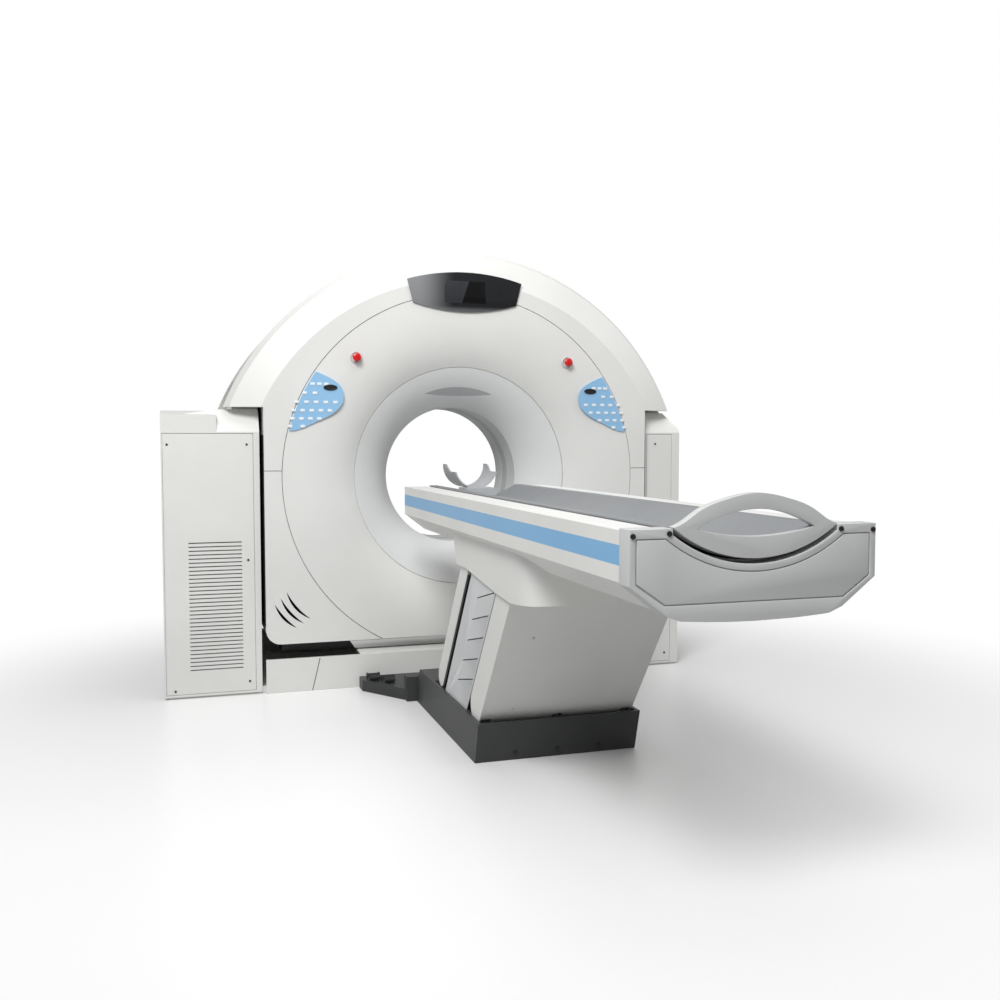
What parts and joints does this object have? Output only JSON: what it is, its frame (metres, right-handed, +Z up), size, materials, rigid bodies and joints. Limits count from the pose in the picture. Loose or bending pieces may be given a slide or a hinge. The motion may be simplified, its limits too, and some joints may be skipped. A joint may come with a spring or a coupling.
{
  "type": "ct scanner",
  "caption": "Tilting ring scanner with a round patient opening, side cabinets, and a leaning-pedestal patient table with a sliding curved cradle and head holder.",
  "frame": {"origin": "on the floor under the centre of the patient opening, in the middle of the gantry's depth", "axes": "+X to the right seen from the table, +Y from the table through the opening, +Z up"},
  "size_m": [2.462, 3.35, 2.003],
  "materials": {
    "cover_white": "smooth satin moulded cover",
    "funnel_white": "smooth satin moulded cover",
    "window_film": "thin translucent film",
    "steel_frame": "primed welded steel",
    "bearing_steel": "ground steel",
    "cast_aluminium": "machined casting",
    "tube_enamel": "enamelled housing",
    "weight_iron": "cast",
    "slip_brass": "turned rings",
    "motor_grey": "dark enamel",
    "display_black": "high gloss",
    "keypad_blue": "printed membrane",
    "stop_red": "gloss",
    "floor_black": "matt dark",
    "pedal_rubber": "matt rubber",
    "skirt_grey": "satin sheet",
    "end_grey": "satin moulding",
    "cradle_grey": "satin composite",
    "holder_grey": "satin composite",
    "belly_black": "matt dark sheet"
  },
  "bodies": {
    "stand": {"gantry_base": "cover_white", "tower_columns": "steel_frame", "tilt_gearmotor": "motor_grey", "left_cap": "cover_white", "right_cap": "cover_white", "left_cabinet_cover": "cover_white", "left_front_panel": "cover_white", "right_tower_cover": "cover_white", "right_front_panel": "cover_white", "power_cabinet": "steel_frame", "cable_inlet": "motor_grey", "step_plate": "floor_black", "table_plinth": "floor_black", "table_floor_frame": "steel_frame", "lift_gearmotor": "motor_grey", "pedestal_skirts": "skirt_grey"},
    "tilting_gantry": {"upper_front_cover": "cover_white", "lower_front_cover": "cover_white", "belly_pan": "belly_black", "centre_cover": "cover_white", "front_funnel": "funnel_white", "rear_funnel": "funnel_white", "bore_liner": "funnel_white", "scan_window": "window_film", "side_covers": "cover_white", "top_shell": "cover_white", "rear_cover": "cover_white", "tilt_frame": "steel_frame", "main_bearing": "bearing_steel", "cover_carrier": "steel_frame", "display_panel": "display_black", "keypads": "keypad_blue", "ring_motor": "motor_grey", "brush_block": "motor_grey"},
    "rotor": {"rotor_drum": "cast_aluminium", "xray_tube": "tube_enamel", "collimator": "cast_aluminium", "tube_cooler": "cast_aluminium", "high_voltage_tank": "cast_aluminium", "balance_weight": "weight_iron", "detector_array": "cast_aluminium", "slip_ring": "slip_brass"},
    "near_lift_arm": {"near_arm": "steel_frame", "near_arm_cover": "cover_white"},
    "far_lift_arm": {"far_arm": "steel_frame", "far_arm_cover": "cover_white"},
    "couch": {"couch_body": "cover_white", "couch_frame": "steel_frame", "pedestal_hood": "cover_white", "end_plate": "end_grey", "cradle_drive": "motor_grey"},
    "sliding_cradle": {"cradle": "cradle_grey", "cradle_handle": "end_grey", "head_holder": "holder_grey"},
    "left_stop_button": {"left_emergency_button": "stop_red"},
    "right_stop_button": {"right_emergency_button": "stop_red"},
    "left_outer_treadle": {"left_outer_pedal": "pedal_rubber"},
    "left_inner_treadle": {"left_inner_pedal": "pedal_rubber"},
    "right_outer_treadle": {"right_outer_pedal": "pedal_rubber"},
    "right_inner_treadle": {"right_inner_pedal": "pedal_rubber"}
  },
  "joints": [
    {"name": "gantry_tilt", "type": "hinge", "parent": "stand", "child": "tilting_gantry", "pos_m": [0, 0, 0.96], "axis": [1, 0, 0], "range_deg": [-25, 25]},
    {"name": "rotor_spin", "type": "hinge", "parent": "tilting_gantry", "child": "rotor", "pos_m": [0, 0, 0.96], "axis": [0, 1, 0], "continuous": true},
    {"name": "table_lift", "type": "hinge", "parent": "stand", "child": "near_lift_arm", "pos_m": [0, -1.583, 0.19], "axis": [-1, 0, 0], "range_deg": [-28, 0], "deforming": ["pedestal_skirts"]},
    {"name": "far_arm_swing", "type": "hinge", "parent": "stand", "child": "far_lift_arm", "pos_m": [0, -1.094, 0.19], "axis": [-1, 0, 0], "range_deg": [-28, 0]},
    {"name": "couch_levelling", "type": "hinge", "parent": "near_lift_arm", "child": "couch", "pos_m": [0, -1.93396, 0.6643], "axis": [-1, 0, 0], "range_deg": [0, 28]},
    {"name": "cradle_travel", "type": "slide", "parent": "couch", "child": "sliding_cradle", "axis": [0, 1, 0], "range_m": [0, 1.5]},
    {"name": "left_stop_press", "type": "slide", "parent": "tilting_gantry", "child": "left_stop_button", "axis": [0, 1, 0], "range_m": [0, 0.006], "stiffness_N_per_m": 1500, "springref_m": -0.002},
    {"name": "right_stop_press", "type": "slide", "parent": "tilting_gantry", "child": "right_stop_button", "axis": [0, 1, 0], "range_m": [0, 0.006], "stiffness_N_per_m": 1500, "springref_m": -0.002},
    {"name": "left_outer_press", "type": "hinge", "parent": "stand", "child": "left_outer_treadle", "pos_m": [-0.445, -0.45, 0.063], "axis": [1, 0, 0], "range_deg": [0, 7], "stiffness_Nm_per_rad": 10, "springref_deg": -8.59},
    {"name": "left_inner_press", "type": "hinge", "parent": "stand", "child": "left_inner_treadle", "pos_m": [-0.39, -0.511, 0.063], "axis": [1, 0, 0], "range_deg": [0, 7], "stiffness_Nm_per_rad": 10, "springref_deg": -8.59},
    {"name": "right_outer_press", "type": "hinge", "parent": "stand", "child": "right_outer_treadle", "pos_m": [0.445, -0.45, 0.063], "axis": [1, 0, 0], "range_deg": [0, 7], "stiffness_Nm_per_rad": 10, "springref_deg": -8.59},
    {"name": "right_inner_press", "type": "hinge", "parent": "stand", "child": "right_inner_treadle", "pos_m": [0.39, -0.511, 0.063], "axis": [1, 0, 0], "range_deg": [0, 7], "stiffness_Nm_per_rad": 10, "springref_deg": -8.59}
  ],
  "couplings": [
    {"joint": "far_arm_swing", "follows": "table_lift", "ratio": 1},
    {"joint": "couch_levelling", "follows": "table_lift", "ratio": -1}
  ]
}
